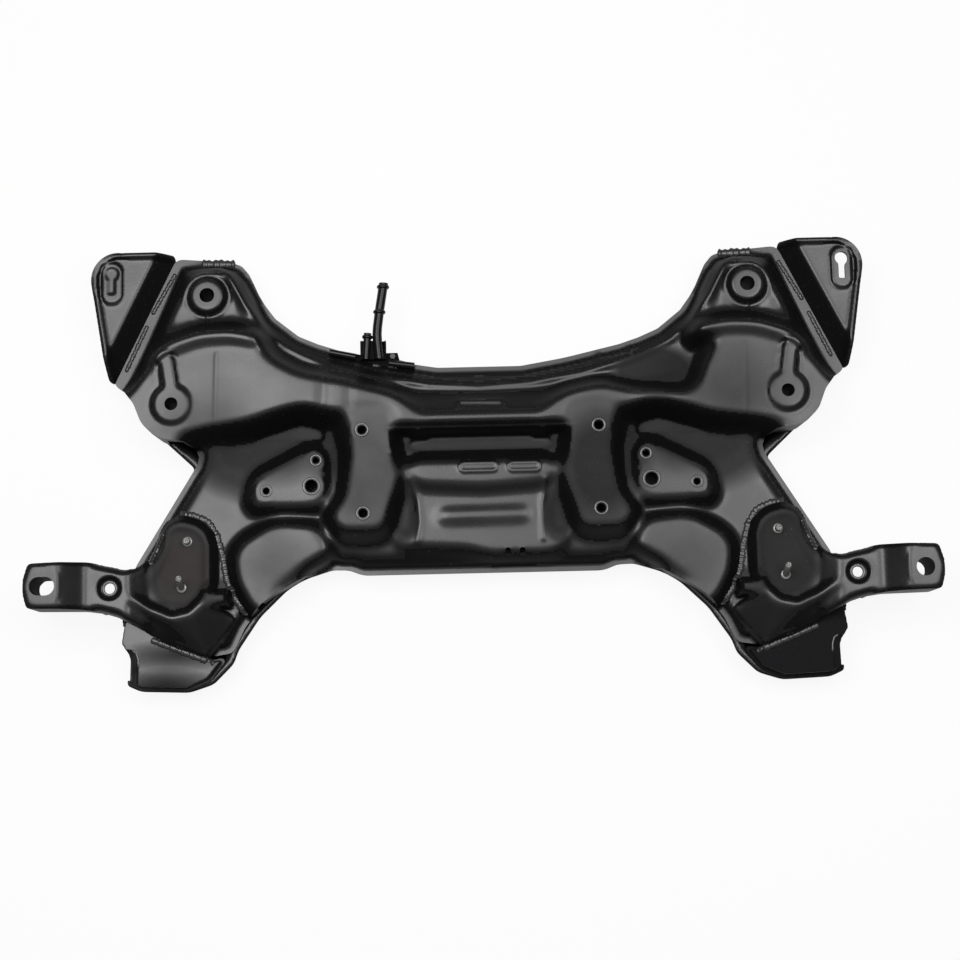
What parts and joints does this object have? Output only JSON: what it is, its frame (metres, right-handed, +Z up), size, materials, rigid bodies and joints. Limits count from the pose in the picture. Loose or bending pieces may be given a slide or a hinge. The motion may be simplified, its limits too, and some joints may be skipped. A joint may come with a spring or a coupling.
{
  "type": "front subframe",
  "caption": "Welded sheet-steel front axle subframe with two outriggers, control-arm pockets, steering rack pads and body mounts.",
  "frame": {"origin": "bottom centre of the box, under the flat underside of the lower panel", "axes": "+X to the right-hand outrigger, +Y to the rear of the car, +Z up"},
  "size_m": [0.9372, 0.4659, 0.095],
  "materials": {
    "coat": "semi-gloss black dip coat",
    "steel": "dark zinc"
  },
  "bodies": {
    "root": {"upper_panel": "coat", "lower_panel": "coat", "left_outrigger_upper": "coat", "right_outrigger_upper": "coat", "left_outrigger_lower": "coat", "right_outrigger_lower": "coat", "left_corner_bracket": "coat", "right_corner_bracket": "coat", "left_arm_pocket": "coat", "right_arm_pocket": "coat", "left_rear_collar": "coat", "right_rear_collar": "coat", "left_arm_sleeve": "coat", "right_arm_sleeve": "coat", "left_end_sleeve": "coat", "right_end_sleeve": "coat", "rack_nuts": "steel", "stabiliser_nuts": "steel", "left_studs": "steel", "right_studs": "steel", "long_pipe": "coat", "short_pipe": "coat", "pipe_bracket": "coat", "flange_tubes": "coat", "pipe_nut": "steel"}
  },
  "joints": []
}
